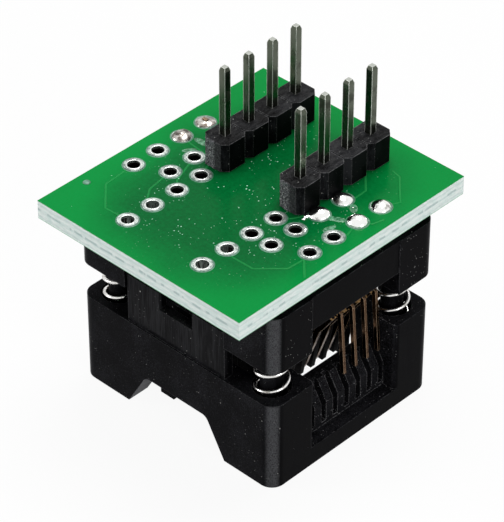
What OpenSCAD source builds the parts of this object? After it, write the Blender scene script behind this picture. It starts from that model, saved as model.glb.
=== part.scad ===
// Adapter board with an open-top chip socket under it and two rows of header pins on top.
// It stands on the feet of its press-down cover, pins up, as it lies on a bench.
// The feet are at z = 0 and the board is centred on x = 0, y = 0.

/* [Board] */
// Overhang of the circuit board past the sides of the base
board_over = 0.1; // [0.1:0.05:2]
// Length of the circuit board along the pin rows
board_l = 24.0; // [23.6:0.1:30]
// Thickness of the laminate
board_t = 1.6; // [1.2:0.1:2.4]
// Underside of the board above the cover's feet
board_z = 16.8; // [16.8:0.05:18]
// Clear radius of every plated hole
hole_r = 0.5; // [0.47:0.01:0.55]
// Wall of the plated barrel in the hole
plating_t = 0.05; // [0.03:0.01:0.06]
// Outer radius of the tinned ring around a hole
ring_r = 0.8; // [0.75:0.01:0.9]
// Thickness of the tinned ring on the board's faces
ring_t = 0.05; // [0.03:0.01:0.08]

/* [Pin rows] */
// Distance between neighbouring pins of a row
pitch = 2.54; // [2.54:0.01:2.6]
// Distance between the two pin rows
row_gap = 7.62; // [7.5:0.02:7.8]
// Number of plated holes in each long row
row_holes = 8; // [8:1:9]
// Number of header pins in each row
row_pins = 4; // [4:1:4]
// Middle of the header pins along the board
header_y = 4.9; // [4.7:0.05:5.1]

/* [Header strips] */
// Width of a header strip
strip_w = 2.5; // [2.2:0.05:2.8]
// Height of a header strip
strip_h = 2.5; // [2:0.1:3]
// Cut corner between two header segments
strip_chamfer = 0.45; // [0.3:0.05:0.6]
// Depth of the score line across a strip's top
score_d = 0.1; // [0.05:0.01:0.2]
// Width of the score line
score_w = 0.12; // [0.08:0.01:0.2]
// Side of the square pin wire
pin_w = 0.6; // [0.5:0.01:0.64]
// Length of a pin above its strip
pin_above = 6.0; // [5:0.1:8]
// Length of a pin below the board's underside
pin_below = 0.9; // [0.6:0.05:1.1]
// Length of the tapered tip
tip_l = 0.3; // [0.2:0.05:0.5]
// Side of the flat at the end of the tip
tip_w = 0.4; // [0.3:0.02:0.44]

/* [Socket base] */
// Middle of the socket along the board
socket_y = 0.45; // [0.35:0.05:0.55]
// Distance of the inner tail row from a pin row
tail_step = 1.97; // [1.9:0.01:2.1]
// Distance between the two tail rows of a side
tail_gap = 2.6; // [2.54:0.02:2.66]
// Distance of the outer tail row from the side of the base
tail_set = 1.82; // [1.72:0.02:1.92]
// Length of the base along the contact rows
base_l = 17.6; // [17.4:0.1:18.2]
// Radius of the upright corners of the base
base_r = 1.2; // [0.8:0.1:1.6]
// Underside of the corner blocks above the feet
block_z = 11.0; // [11:0.05:11.4]
// Underside of the side beams above the feet
beam_z = 13.05; // [12.9:0.05:13.3]
// Setback of the side beams behind the corner blocks' sides
beam_set = 0.08; // [0.05:0.01:0.12]
// Height of the stand-off rails between base and board
rail_h = 0.75; // [0.6:0.05:1]
// Setback of the rails from the sides of the base
rail_inset = 0.9; // [0.7:0.05:1]
// Depth of the well over the base that clears the header joints
well_d = 0.9; // [0.8:0.05:1]
// Room in that well past the middle of a pin row
well_side = 1.04; // [0.95:0.01:1.1]
// Clear gap between a contact strip and its slot
slot_clear = 0.03; // [0.02:0.01:0.06]
// Wall of the base outside the contact slots
slot_wall = 1.0; // [0.9:0.05:1.05]
// Length of the contact slots across the base
slot_l = 4.0; // [3.9:0.05:4.1]

/* [Chip seat] */
// Wall of the pillar beside the chip's body
seat_wall = 1.125; // [1.1:0.005:1.15]
// Reach of the pillar past the chip's body at the ends
seat_end = 0.11; // [0.05:0.01:0.4]
// Height of the chip's lead seat above the feet
seat_z = 3.9; // [3.85:0.05:4.2]
// Width of the recess for the chip's body
chip_w = 4.05; // [3.9:0.05:4.2]
// Length of the recess for the chip's body
chip_l = 5.1; // [5:0.05:5.3]
// Depth of the recess for the chip's body
chip_d = 1.5; // [1.2:0.1:1.8]
// Thickness of the two end guides of the chip
guide_t = 0.8; // [0.6:0.05:1]
// Height of the end guides past the lead seat
guide_h = 1.4; // [1:0.1:1.6]
// Width of the end guides
guide_w = 4.6; // [4:0.1:4.8]
// Thickness of the comb walls between contacts
comb_t = 0.45; // [0.3:0.05:0.55]
// Reach of the comb walls from the pillar at their lower end
comb_out = 1.65; // [1.5:0.05:1.7]
// Reach of the comb walls from the pillar in their upper part
comb_top_out = 2.5; // [2.3:0.05:2.6]
// Lower end of the comb walls above the feet
comb_z = 3.05; // [3:0.05:3.4]
// Height at which the comb walls' outer edge turns upright
comb_knee_z = 7.5; // [7:0.1:8]

/* [Contacts] */
// Distance between neighbouring contact slots
contact_pitch = 1.27; // [1.27:0.01:1.28]
// Number of contact slots on each side
slot_count = 8; // [8:1:8]
// Number of contacts fitted on each side
contact_count = 4; // [4:1:4]
// Thickness of the contact sheet
contact_t = 0.24; // [0.2:0.01:0.28]
// Width of the spring loop's strip
loop_w = 0.3; // [0.26:0.01:0.32]
// Width of the lever
lever_w = 0.36; // [0.3:0.01:0.4]
// Width of the contact arm
arm_w = 0.44; // [0.36:0.01:0.46]
// Gap at both ends of the contact's foot bar
foot_play = 0.1; // [0.05:0.01:0.15]
// Underside of the foot bar above the beams' underside
foot_up = 1.15; // [1.1:0.05:1.3]
// Height of the contact's foot bar in the slot
foot_h = 0.8; // [0.6:0.05:0.9]
// Width of the soldered tail
tail_w = 0.46; // [0.4:0.01:0.5]
// Length of a tail past the board's top
tail_above = 0.35; // [0.2:0.05:0.4]
// Lower end of the levers above the feet
lever_z = 4.95; // [4.9:0.05:5.2]
// Top of the levers above the feet
lever_top_z = 10.45; // [10.3:0.05:10.5]
// Lower end of a lever from the side of the base
lever_set = 1.7; // [1.64:0.02:1.76]
// Lean of a lever towards the middle at its top
lever_lean = 0.38; // [0.34:0.02:0.42]
// Depth of the arm's tip past the chip's lead seat
tip_gap = 0.6; // [0.5:0.05:0.7]
// Overlap of the arm's tip with the side of the pillar's face
tip_under = 0.05; // [0.02:0.01:0.1]
// Radius of the spring bow
bow_r = 1.2; // [1.1:0.05:1.25]
// Middle of the spring bow from the side of the base
bow_set = 3.25; // [3.2:0.05:3.4]
// Middle of the spring bow below the beams
bow_drop = 1.15; // [1.1:0.05:1.2]

/* [Cover] */
// Setback of the cover's sides from the sides of the base
cover_set_x = 0.1; // [0:0.05:0.2]
// Setback of the cover's ends from the ends of the base
cover_set_y = 0.05; // [0:0.05:0.1]
// Height of the cover
cover_h = 7.85; // [7.8:0.05:8]
// Radius of the upright corners of the cover
cover_r = 1.15; // [0.8:0.05:1.4]
// Width of the corner columns across the cover
column_w = 4.2; // [4.1:0.05:4.3]
// Wall at the two ends of the cover
end_wall = 2.0; // [1.8:0.1:2.2]
// Width of the side windows
window_w = 9.46; // [9.4:0.02:9.6]
// Setback of a side window's front edge, beside the first rib
window_front = 0.45; // [0.4:0.05:0.5]
// Height of the sill under a side window
sill_h = 1.65; // [1.4:0.05:1.7]
// Rounding of the upright window edges
window_r = 0.4; // [0.2:0.05:0.5]
// Setback of the ribs from the cover's side
rib_set = 1.2; // [1.1:0.05:1.3]
// Width of the sloping face of the ribs
rib_slope_w = 0.95; // [0.8:0.05:1]
// Width of the ribbed bars
bar_w = 2.05; // [2:0.05:2.1]
// Height of the ribs' flat top
rib_top_z = 5.35; // [5.2:0.05:5.4]
// Height of the ridge under the sloping rib face
rib_ridge_z = 3.75; // [3.5:0.05:4]
// Width of a lever slot between ribs
lever_slot_w = 0.52; // [0.48:0.02:0.6]
// Depth of the lever slots behind the ribs' outer side
lever_slot_d = 1.3; // [1.28:0.01:1.35]
// Lower end of the lever slots
lever_slot_z = 1.95; // [1.8:0.05:2.1]
// Width of the finger notch at the feet
notch_w = 10.2; // [9:0.1:10.6]
// Width of the finger notch at its top
notch_top_w = 6.4; // [5:0.1:7]
// Height of the finger notch
notch_h = 3.3; // [2.5:0.1:3.6]
// Rounding of the notch's upper corners
notch_r = 0.7; // [0.4:0.05:1]
// Width of the guide lugs inside the end walls
lug_w = 1.4; // [1:0.1:1.6]
// Reach of the guide lugs into the mouth
lug_t = 0.6; // [0.4:0.05:0.7]
// Distance of the guide lugs from the middle
lug_x = 2.9; // [2.7:0.05:3.2]
// Height of the guide lugs past the finger notch
lug_rise = 1.0; // [0.8:0.1:1.4]
// Lower end of the guide lugs above the feet
lug_z = 0.5; // [0.3:0.05:0.8]

/* [Cover legs] */
// Width of a guide leg
leg_w = 10.1; // [9.6:0.1:10.2]
// Thickness of a guide leg
leg_t = 0.85; // [0.8:0.01:0.9]
// Setback of a leg from the cover's end face
leg_inset = 0.15; // [0.1:0.01:0.2]
// Height of the legs above the cover
leg_h = 4.35; // [4.3:0.05:4.4]
// Width of the notch in a leg's end
leg_notch_w = 3.5; // [3.2:0.1:3.7]
// Depth of the notch in a leg's end
leg_notch_d = 1.55; // [1.4:0.05:1.65]
// Running gap between a leg and its channel
leg_gap = 0.1; // [0.08:0.01:0.12]
// Distance of a hook from the notch in the leg's end
hook_set = 0.35; // [0.3:0.05:0.4]
// Width of a hook
hook_w = 2.2; // [1.8:0.1:2.4]
// Room round a hook in its pocket
hook_room = 0.15; // [0.1:0.05:0.2]
// Distance of a hook's upper end from the leg's end
hook_end = 0.1; // [0.05:0.05:0.2]
// Gap between a hook and its ledge at rest
ledge_gap = 0.02; // [0.02:0.01:0.05]
// Thickness of the base's end walls behind the legs
end_wall_t = 1.15; // [1.1:0.05:1.2]
// Reach of a hook
hook_d = 0.4; // [0.35:0.01:0.45]
// Height of a hook
hook_h = 0.65; // [0.5:0.05:0.7]
// Travel of the cover when it is pressed
travel = 2.6; // [2.2:0.05:2.6]

/* [Springs] */
// Radius of the spring wire
wire_r = 0.15; // [0.12:0.01:0.17]
// Outer diameter of a spring
spring_d = 2.78; // [2.7:0.01:2.8]
// Number of turns
spring_turns = 8; // [7.5:0.25:8.5]
// Direction in which a spring's wire starts
spring_start = 165; // [0:5:355]
// Radius of the post in a spring
post_r = 0.9; // [0.8:0.01:0.9]
// Length of a post below its corner block
post_l = 3.6; // [3.2:0.1:4]
// Radius of a spring pocket in the cover
pocket_r = 1.5; // [1.48:0.01:1.52]
// Floor of a spring pocket above the feet
pocket_z = 1.2; // [1:0.05:1.5]
// Distance of a spring's axis from the cover's faces
spring_inset = 2.15; // [2.1:0.01:2.25]

/* [Solder] */
// Height of a solder dome on a contact tail
dome_h = 0.55; // [0.45:0.05:0.6]
// Radius of a solder dome at the board
dome_r = 0.75; // [0.7:0.01:0.75]
// Height of a solder cone under the board
cone_h = 0.65; // [0.5:0.05:0.7]
// Radius of a solder cone at its lower end
cone_r = 0.5; // [0.48:0.01:0.55]

/* [Hidden] */

// Distance of a pin row from the middle
row_x = row_gap / 2;
// Tail rows from the middle, and the sides and ends that follow them
tail_in = row_x + tail_step;
tail_out = tail_in + tail_gap;
base_w = 2 * (tail_out + tail_set);
board_w = base_w + 2 * board_over;
cover_w = base_w - 2 * cover_set_x;
cover_l = base_l - 2 * cover_set_y;
// Contact slots from the middle
slot_out = base_w / 2 - slot_wall;
slot_in = slot_out - slot_l;
// Half width of the mouth at the corner columns, and the ribbed bars from the middle
mouth_half = cover_w / 2 - column_w;
rib_out = cover_w / 2 - rib_set;
rib_top_out = rib_out - rib_slope_w;
bar_in = rib_out - bar_w;
lever_slot_in = rib_out - lever_slot_d;
// Half width of the pillar
seat_half = chip_w / 2 + seat_wall;
// Overlap that lets one cut run through a face
eps = 0.01;
// Segments of a drawn circle
round_fn = 48;
// Top of the board
board_top = board_z + board_t;
// Shoulder of the base, where the rails start
shoulder_z = board_z - rail_h;
// Floor of the well that clears the header joints
well_z = shoulder_z - well_d;
// Lowest and highest point of a header pin
pin_z0 = board_z - pin_below;
pin_z1 = board_top + strip_h + pin_above;
// Place of the first header pin and of the first hole of a long row
first_pin_y = header_y - (row_pins - 1) / 2 * pitch;
first_row_y = first_pin_y - (row_holes - row_pins) * pitch;
// Place of the first contact slot and of the first fitted contact
first_slot_y = socket_y - (slot_count - 1) / 2 * contact_pitch;
first_contact_y = first_slot_y + (slot_count - contact_count) * contact_pitch;
// Middle of the chip, which is the middle of the fitted contacts
chip_y = first_contact_y + (contact_count - 1) / 2 * contact_pitch;
// Length of the pillar that carries the chip
seat_l = 2 * (abs(chip_y - socket_y) + chip_l / 2 + seat_end);
// Places of the four springs
spring_x = cover_w / 2 - spring_inset;
spring_y = cover_l / 2 - spring_inset;
// Inner face of a leg and outer face of the base's end wall, from the socket's middle
leg_in = cover_l / 2 - leg_inset - leg_t;
wall_out = leg_in - leg_gap;
// Inner face of the base's end wall
wall_in = wall_out - end_wall_t;
// Height of a hook's catching face, and of the ledge under it
hook_z = cover_h + leg_h - hook_h - hook_end;
// Middle of a hook from the middle of its leg
hook_x = leg_notch_w / 2 + hook_set + hook_w / 2;
// Width and top of the pocket in which the hooks travel
hook_pocket_z = hook_z + hook_h + travel + hook_room;
// Outer side of the contact's foot bar and its underside
foot_out = slot_out - foot_play;
foot_in = slot_in + foot_play;
foot_z = beam_z + foot_up;
// Centre of the spring bow's middle line
bow_x = base_w / 2 - bow_set;
bow_z = beam_z - bow_drop;
bend_steps = 10;
// Colours
solder_mask_green = [0.0, 0.42, 0.17];
moulded_black = [0.08, 0.08, 0.09];
tin_grey = [0.75, 0.76, 0.78];
pin_steel = [0.45, 0.45, 0.42];
gold = [0.72, 0.5, 0.2];

// Rows of plated holes: distance from the middle, first y and number at one pitch
function plated_rows() = [
    [row_x, first_row_y, row_holes],
    [-row_x, first_row_y, row_holes],
    [tail_in, first_slot_y, slot_count / 2],
    [tail_out, first_slot_y + contact_pitch, slot_count / 2],
    [-tail_out, first_slot_y, slot_count / 2],
    [-tail_in, first_slot_y + contact_pitch, slot_count / 2]];

// Distance of the tail of fitted contact i (0 is the front one) from the middle
function tail_x(side, i) = (i % 2 == 0) == (side > 0) ? tail_in : tail_out;

// Points of an arc
function arc(c, r, from, to, n) =
    [for (k = [0:n]) c + r * [cos(from + (to - from) * k / n), sin(from + (to - from) * k / n)]];

// Direction across a line through three neighbouring points, lengthened at a bend
function across(a, b, c) =
    let (u = (b - a) / max(norm(b - a), eps), v = (c - b) / max(norm(c - b), eps),
         w = (norm(u) < 0.5) ? v : (norm(v) < 0.5) ? u : (u + v) / norm(u + v),
         s = (norm(u) < 0.5) ? v : u)
    [-w[1], w[0]] / max(abs(w * s), 0.5);

// Outline of a strip of a given width along a line of points
function strip_outline(p, w) =
    let (n = len(p), q = [for (i = [0:n - 1]) across(p[max(i - 1, 0)], p[i], p[min(i + 1, n - 1)])])
    concat([for (i = [0:n - 1]) p[i] - q[i] * w / 2], [for (i = [n - 1:-1:0]) p[i] + q[i] * w / 2]);

// Plan of a block with round corners
module rounded_plan(w, l, r) {
    square([w - 2 * r, l], center = true);
    square([w, l - 2 * r], center = true);
    for (x = [-1, 1], y = [-1, 1])
        translate([x * (w / 2 - r), y * (l / 2 - r)]) circle(r, $fn = round_fn);
}

// Box from its lowest to its highest corner
module span(low, high) {
    translate(low) cube(high - low);
}

// Every plated hole's place
module at_holes() {
    for (row = plated_rows(), i = [0:row[2] - 1])
        translate([row[0], row[1] + i * pitch, 0]) children();
}

module circuit_board() {
    color(solder_mask_green)
    difference() {
        span([-board_w / 2, -board_l / 2, board_z], [board_w / 2, board_l / 2, board_top]);
        at_holes()
            translate([0, 0, board_z - eps])
            cylinder(board_t + 2 * eps, hole_r + plating_t, hole_r + plating_t, $fn = round_fn);
    }
}

module hole_plating() {
    color(tin_grey)
    at_holes()
    difference() {
        union() {
            translate([0, 0, board_z]) cylinder(board_t, hole_r + plating_t, hole_r + plating_t, $fn = round_fn);
            translate([0, 0, board_top]) cylinder(ring_t, ring_r, ring_r, $fn = round_fn);
            translate([0, 0, board_z - ring_t]) cylinder(ring_t, ring_r, ring_r, $fn = round_fn);
        }
        translate([0, 0, board_z - 1]) cylinder(board_t + 2, hole_r, hole_r, $fn = round_fn);
    }
}

// Square bar of a header pin with both ends tapered
module pin_bar() {
    outline = [[-tip_w / 2, pin_z0], [tip_w / 2, pin_z0], [pin_w / 2, pin_z0 + tip_l], [pin_w / 2, pin_z1 - tip_l],
        [tip_w / 2, pin_z1], [-tip_w / 2, pin_z1], [-pin_w / 2, pin_z1 - tip_l], [-pin_w / 2, pin_z0 + tip_l]];
    intersection() {
        rotate([90, 0, 0]) translate([0, 0, -pin_w / 2]) linear_extrude(pin_w) polygon(outline);
        rotate([90, 0, 90]) translate([0, 0, -pin_w / 2]) linear_extrude(pin_w) polygon(outline);
    }
}

module header_pin(side, i) {
    color(pin_steel)
    translate([side * row_x, first_pin_y + (i - 1) * pitch, 0]) pin_bar();
}

// One break-away strip: a row of eight-sided segments
module header_strip(side) {
    half = pitch / 2;
    segment = [[-strip_w / 2, -half + strip_chamfer], [-strip_w / 2 + strip_chamfer, -half],
        [strip_w / 2 - strip_chamfer, -half], [strip_w / 2, -half + strip_chamfer],
        [strip_w / 2, half - strip_chamfer], [strip_w / 2 - strip_chamfer, half],
        [-strip_w / 2 + strip_chamfer, half], [-strip_w / 2, half - strip_chamfer]];
    color(moulded_black)
    translate([side * row_x, first_pin_y, board_top + ring_t])
    difference() {
        linear_extrude(strip_h - ring_t)
            for (i = [0:row_pins - 1]) translate([0, i * pitch]) polygon(segment);
        for (i = [0:row_pins - 1])
            translate([0, i * pitch, strip_h / 2]) cube([pin_w, pin_w, 2 * strip_h], center = true);
        for (i = [1:row_pins - 1])
            translate([-strip_w, (i - 0.5) * pitch - score_w / 2, strip_h - ring_t - score_d])
            cube([2 * strip_w, score_w, 2 * score_d]);
    }
}

// Solder that fills each header hole and a cone under it
module header_solder() {
    color(tin_grey)
    for (side = [-1, 1], i = [0:row_pins - 1])
        translate([side * row_x, first_pin_y + i * pitch, 0])
        difference() {
            union() {
                translate([0, 0, board_z - ring_t]) cylinder(board_t + ring_t, hole_r, hole_r, $fn = round_fn);
                translate([0, 0, board_z - ring_t - cone_h])
                    cylinder(cone_h, cone_r, ring_r - 0.05, $fn = round_fn);
            }
            translate([-pin_w / 2, -pin_w / 2, board_z - 2]) cube([pin_w, pin_w, board_t + 4]);
        }
}

// Solder that fills each tail's hole and a dome over it
module contact_solder() {
    dome_ball = (dome_r * dome_r + dome_h * dome_h) / (2 * dome_h);
    color(tin_grey)
    for (side = [-1, 1], i = [0:contact_count - 1])
        translate([side * tail_x(side, i), first_contact_y + i * contact_pitch, 0])
        difference() {
            union() {
                translate([0, 0, board_z]) cylinder(board_t + ring_t, hole_r, hole_r, $fn = round_fn);
                intersection() {
                    translate([0, 0, board_top + ring_t + dome_h - dome_ball]) sphere(dome_ball, $fn = round_fn);
                    translate([0, 0, board_top + ring_t]) cylinder(2 * dome_h, 2 * dome_r, 2 * dome_r, $fn = round_fn);
                }
            }
            translate([-tail_w / 2, -contact_t / 2, board_z - 1]) cube([tail_w, contact_t, board_t + tail_above + 1]);
        }
}

// Block of the base's plan between two heights
module base_block(low, high) {
    translate([0, 0, low]) linear_extrude(high - low) rounded_plan(base_w, base_l, base_r);
}

// Corner blocks with the spring posts
module base_corners() {
    difference() {
        base_block(block_z, beam_z);
        span([-base_w, -window_w / 2, block_z - 1], [base_w, window_w / 2, beam_z + 1]);
        span([-leg_w / 2 - leg_gap, -base_l, block_z - 1], [leg_w / 2 + leg_gap, base_l, beam_z + 1]);
    }
    for (x = [-1, 1], y = [-1, 1])
        translate([x * spring_x, y * spring_y, block_z - post_l]) cylinder(post_l + 1, post_r, post_r, $fn = round_fn);
}

// End walls behind the cover's legs, with the ledges that hold the hooks
module base_end_walls() {
    for (y = [0, 1]) mirror([0, y, 0])
        span([-leg_w / 2 - leg_gap - eps, wall_in, block_z], [leg_w / 2 + leg_gap + eps, wall_out, beam_z + eps]);
}

// Channels for the legs and pockets for the hooks, at both ends
module leg_channels() {
    half = leg_w / 2 + leg_gap;
    pocket_half = hook_w / 2 + hook_room;
    for (y = [0, 1]) mirror([0, y, 0]) {
        span([-half, wall_out, block_z - 1], [half, base_l, board_z + 1]);
        for (x = [-1, 1])
            translate([x * hook_x, 0, 0])
            span([-pocket_half, leg_in - hook_d - leg_gap, hook_z - ledge_gap], [pocket_half, base_l, hook_pocket_z]);
    }
}

// Pillar with the chip's seat, its end guides and the comb walls between the contacts
module chip_pillar() {
    difference() {
        span([-seat_half, -seat_l / 2, seat_z], [seat_half, seat_l / 2, beam_z + eps]);
        translate([0, chip_y - socket_y, seat_z]) cube([chip_w, chip_l, 2 * chip_d], center = true);
    }
    for (y = [-1, 1])
        translate([0, chip_y - socket_y + y * (chip_l + guide_t) / 2, seat_z - guide_h / 2 + eps])
        cube([guide_w, guide_t, guide_h + 2 * eps], center = true);
    for (x = [0, 1], i = [0:slot_count])
        mirror([x, 0, 0])
        translate([0, (i - slot_count / 2) * contact_pitch + comb_t / 2, 0])
        rotate([90, 0, 0]) linear_extrude(comb_t)
        polygon([[seat_half - eps, comb_z], [seat_half + comb_out, comb_z], [seat_half + comb_top_out, comb_knee_z],
            [seat_half + comb_top_out, beam_z + eps], [seat_half - eps, beam_z + eps]]);
}

module socket_base() {
    slot_w = contact_t + 2 * slot_clear;
    rail_w = base_w - 2 * rail_inset;
    rail_l = base_l - 2 * rail_inset;
    color(moulded_black)
    translate([0, socket_y, 0])
    difference() {
        union() {
            base_block(beam_z, shoulder_z);
            span([-rail_w / 2, -rail_l / 2, shoulder_z - eps], [rail_w / 2, rail_l / 2, board_z - ring_t]);
            base_corners();
            base_end_walls();
            chip_pillar();
        }
        leg_channels();
        for (x = [0, 1]) mirror([x, 0, 0])
            span([base_w / 2 - beam_set, -window_w / 2, block_z], [base_w, window_w / 2, board_z]);
        translate([-row_x - well_side, -base_l, well_z]) cube([2 * (row_x + well_side), 2 * base_l, board_z]);
        for (x = [0, 1], i = [0:slot_count - 1])
            mirror([x, 0, 0])
            translate([0, (i - (slot_count - 1) / 2) * contact_pitch, 0])
            span([slot_in, -slot_w / 2, beam_z - 1], [slot_out, slot_w / 2, board_z + 1]);
    }
}

// Side view of a contact on the right: foot bar, spring bow, arm and lever
module contact_profile(tail) {
    lever_x = base_w / 2 - lever_set;
    top_x = lever_x - lever_lean;
    tip_x = seat_half - tip_under;
    tip_z = seat_z - tip_gap;
    hook_up = lever_w / 2;
    // Shape of the arm as shares of its reach and drop
    shape = [[0, 0], [0.112, 0.052], [0.308, 0.263], [0.447, 0.401], [0.685, 0.883], [0.705, 0.931], [0.741, 0.983],
        [0.811, 1.003], [0.9, 1.008], [1, 1]];
    arm = [for (k = shape)
        [top_x - k[0] * (top_x - tip_x), lever_top_z - k[1] * (lever_top_z - tip_z)]];
    bow = concat([[bow_x + bow_r * 0.75, foot_z + foot_h / 2], [bow_x + bow_r * 0.75, bow_z + bow_r * 1.6]],
        arc([bow_x, bow_z], bow_r, 60, 300, bend_steps),
        [[bow_x + bow_r * 0.46, lever_top_z - hook_up * 0.8], [bow_x + bow_r * 0.62, lever_top_z - hook_up * 3]]);
    polygon(strip_outline(bow, loop_w));
    polygon(strip_outline(arm, arm_w));
    polygon(strip_outline([[top_x - hook_up / 2, lever_top_z], [top_x, lever_top_z - hook_up * 4.7],
        [lever_x, lever_z]], lever_w));
    translate([foot_in, foot_z]) square([foot_out - foot_in, foot_h]);
    translate([tail - tail_w / 2, foot_z]) square([tail_w, board_top + tail_above - foot_z]);
}

module contact(side, i) {
    color(gold)
    translate([0, first_contact_y + (i - 1) * contact_pitch, 0])
    mirror([side < 0 ? 1 : 0, 0, 0])
    rotate([90, 0, 0])
    translate([0, 0, -contact_t / 2])
    linear_extrude(contact_t) contact_profile(tail_x(side, i - 1));
}

// Finger notch in the cover's end walls
module notch_plan() {
    slope = atan2(notch_h, (notch_w - notch_top_w) / 2);
    reach = notch_r * tan(slope / 2);
    difference() {
        polygon([[-notch_w / 2, 0], [notch_w / 2, 0], [notch_top_w / 2, notch_h], [-notch_top_w / 2, notch_h]]);
        for (x = [0, 1]) mirror([x, 0])
            difference() {
                polygon([[notch_top_w / 2, notch_h], [notch_top_w / 2 - reach, notch_h],
                    [notch_top_w / 2 - reach, notch_h - notch_r],
                    [notch_top_w / 2 + reach * cos(slope), notch_h - reach * sin(slope)]]);
                translate([notch_top_w / 2 - reach, notch_h - notch_r]) circle(notch_r, $fn = round_fn);
            }
    }
    translate([-notch_w / 2, -1]) square([notch_w, 1]);
}

// Plan of a side window's outer part, with rounded edges at the cover's face
module window_plan() {
    translate([rib_out, window_front - window_w / 2]) square([cover_w, window_w - window_front]);
    for (y = [0, 1]) translate([0, (1 - y) * window_front]) mirror([0, 1 - y])
        difference() {
            translate([cover_w / 2 - window_r, window_w / 2 - eps]) square(window_r + eps);
            translate([cover_w / 2 - window_r, window_w / 2 + window_r]) circle(window_r, $fn = round_fn);
        }
}

// One side window with the ribbed bar left standing in it
module window_cut() {
    translate([0, 0, sill_h]) linear_extrude(cover_h) window_plan();
    rotate([90, 0, 0]) translate([0, 0, -window_w / 2]) linear_extrude(window_w - window_front)
        polygon([[mouth_half, rib_top_z], [rib_top_out, rib_top_z], [rib_out, rib_ridge_z],
            [rib_out + 1, rib_ridge_z], [rib_out + 1, 2 * cover_h], [mouth_half, 2 * cover_h]]);
    for (i = [1:slot_count - 1])
        translate([0, (i - (slot_count - 1) / 2) * contact_pitch, 0])
        span([lever_slot_in, -lever_slot_w / 2, lever_slot_z], [cover_w, lever_slot_w / 2, 2 * cover_h]);
}

// Guide leg with its two hooks, at the back end
module cover_leg() {
    top = cover_h + leg_h;
    difference() {
        span([-leg_w / 2, leg_in, cover_h - 1], [leg_w / 2, leg_in + leg_t, top]);
        span([-leg_notch_w / 2, 0, top - leg_notch_d], [leg_notch_w / 2, cover_l, top + 1]);
    }
    for (x = [-1, 1])
        translate([x * hook_x - hook_w / 2, 0, 0])
        rotate([90, 0, 90]) linear_extrude(hook_w)
        polygon([[leg_in + eps, hook_z], [leg_in - hook_d, hook_z], [leg_in - hook_d, hook_z + hook_h / 2],
            [leg_in + eps, hook_z + hook_h]]);
}

module cover() {
    mouth_l = cover_l - 2 * end_wall;
    color(moulded_black)
    translate([0, socket_y, 0]) {
        difference() {
            linear_extrude(cover_h) rounded_plan(cover_w, cover_l, cover_r);
            span([-mouth_half, -mouth_l / 2, -1], [mouth_half, mouth_l / 2, cover_h + 1]);
            span([-bar_in, -window_w / 2, -1], [bar_in, window_w / 2, cover_h + 1]);
            for (x = [0, 1]) mirror([x, 0, 0]) window_cut();
            for (x = [-1, 1], y = [-1, 1])
                translate([x * spring_x, y * spring_y, pocket_z])
                cylinder(cover_h, pocket_r, pocket_r, $fn = round_fn);
            rotate([90, 0, 0]) translate([0, 0, -cover_l]) linear_extrude(2 * cover_l) notch_plan();
        }
        for (y = [0, 1]) mirror([0, y, 0]) {
            cover_leg();
            for (x = [-1, 1])
                translate([x * lug_x, mouth_l / 2 - lug_t / 2 + eps, (lug_z + notch_h + lug_rise) / 2])
                cube([lug_w, lug_t + 2 * eps, notch_h + lug_rise - lug_z], center = true);
        }
    }
}

// Wire of a spring: rings of points along a helix with closed ends
module spring_wire() {
    steps = 16;
    sides = 6;
    low = pocket_z + wire_r;
    high = block_z - wire_r;
    coil_r = spring_d / 2 - wire_r;
    count = round(spring_turns * steps);
    // Height along the coil: flat first and last turn, even pitch between them
    rise = function (t) low + (high - low) * (max(0, min(1, (t - 1) / (spring_turns - 2))) * 0.94
        + 0.03 * min(1, t) + 0.03 * max(0, t - spring_turns + 1));
    points = [for (i = [0:count], j = [0:sides - 1])
        let (t = i / steps, a = 360 * t + spring_start, b = 360 * j / sides, r = coil_r + wire_r * cos(b))
        [r * cos(a), r * sin(a), rise(t) + wire_r * sin(b)]];
    walls = [for (i = [0:count - 1], j = [0:sides - 1])
        let (k = (j + 1) % sides)
        [i * sides + j, (i + 1) * sides + j, (i + 1) * sides + k, i * sides + k]];
    caps = [[for (j = [0:sides - 1]) j], [for (j = [sides - 1:-1:0]) count * sides + j]];
    polyhedron(points, concat(walls, caps), convexity = 10);
}

module spring(x, y) {
    color(tin_grey)
    translate([x * spring_x, socket_y + y * spring_y, 0]) spring_wire();
}

circuit_board();
hole_plating();
header_strip(-1);  // header_strip_left
header_strip(1);  // header_strip_right
header_pin(-1, 1);  // header_pin_left_1
header_pin(-1, 2);  // header_pin_left_2
header_pin(-1, 3);  // header_pin_left_3
header_pin(-1, 4);  // header_pin_left_4
header_pin(1, 1);  // header_pin_right_1
header_pin(1, 2);  // header_pin_right_2
header_pin(1, 3);  // header_pin_right_3
header_pin(1, 4);  // header_pin_right_4
header_solder();
contact_solder();
socket_base();
contact(-1, 1);  // contact_left_1
contact(-1, 2);  // contact_left_2
contact(-1, 3);  // contact_left_3
contact(-1, 4);  // contact_left_4
contact(1, 1);  // contact_right_1
contact(1, 2);  // contact_right_2
contact(1, 3);  // contact_right_3
contact(1, 4);  // contact_right_4
cover();
spring(-1, -1);  // spring_front_left
spring(1, -1);  // spring_front_right
spring(-1, 1);  // spring_back_left
spring(1, 1);  // spring_back_right
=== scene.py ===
"""Looks of the chip programming adapter: finishes, fine pieces, studio and camera.

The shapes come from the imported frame, in metres, with the cover's feet at z = 0, +Z along the header pins
and +Y towards the header end of the board. Each class below dresses one sub-assembly.
"""

import logging
import math
from dataclasses import dataclass
from enum import Enum
from typing import Any, Iterable, Sequence

import bpy
from mathutils import Matrix, Vector


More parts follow.
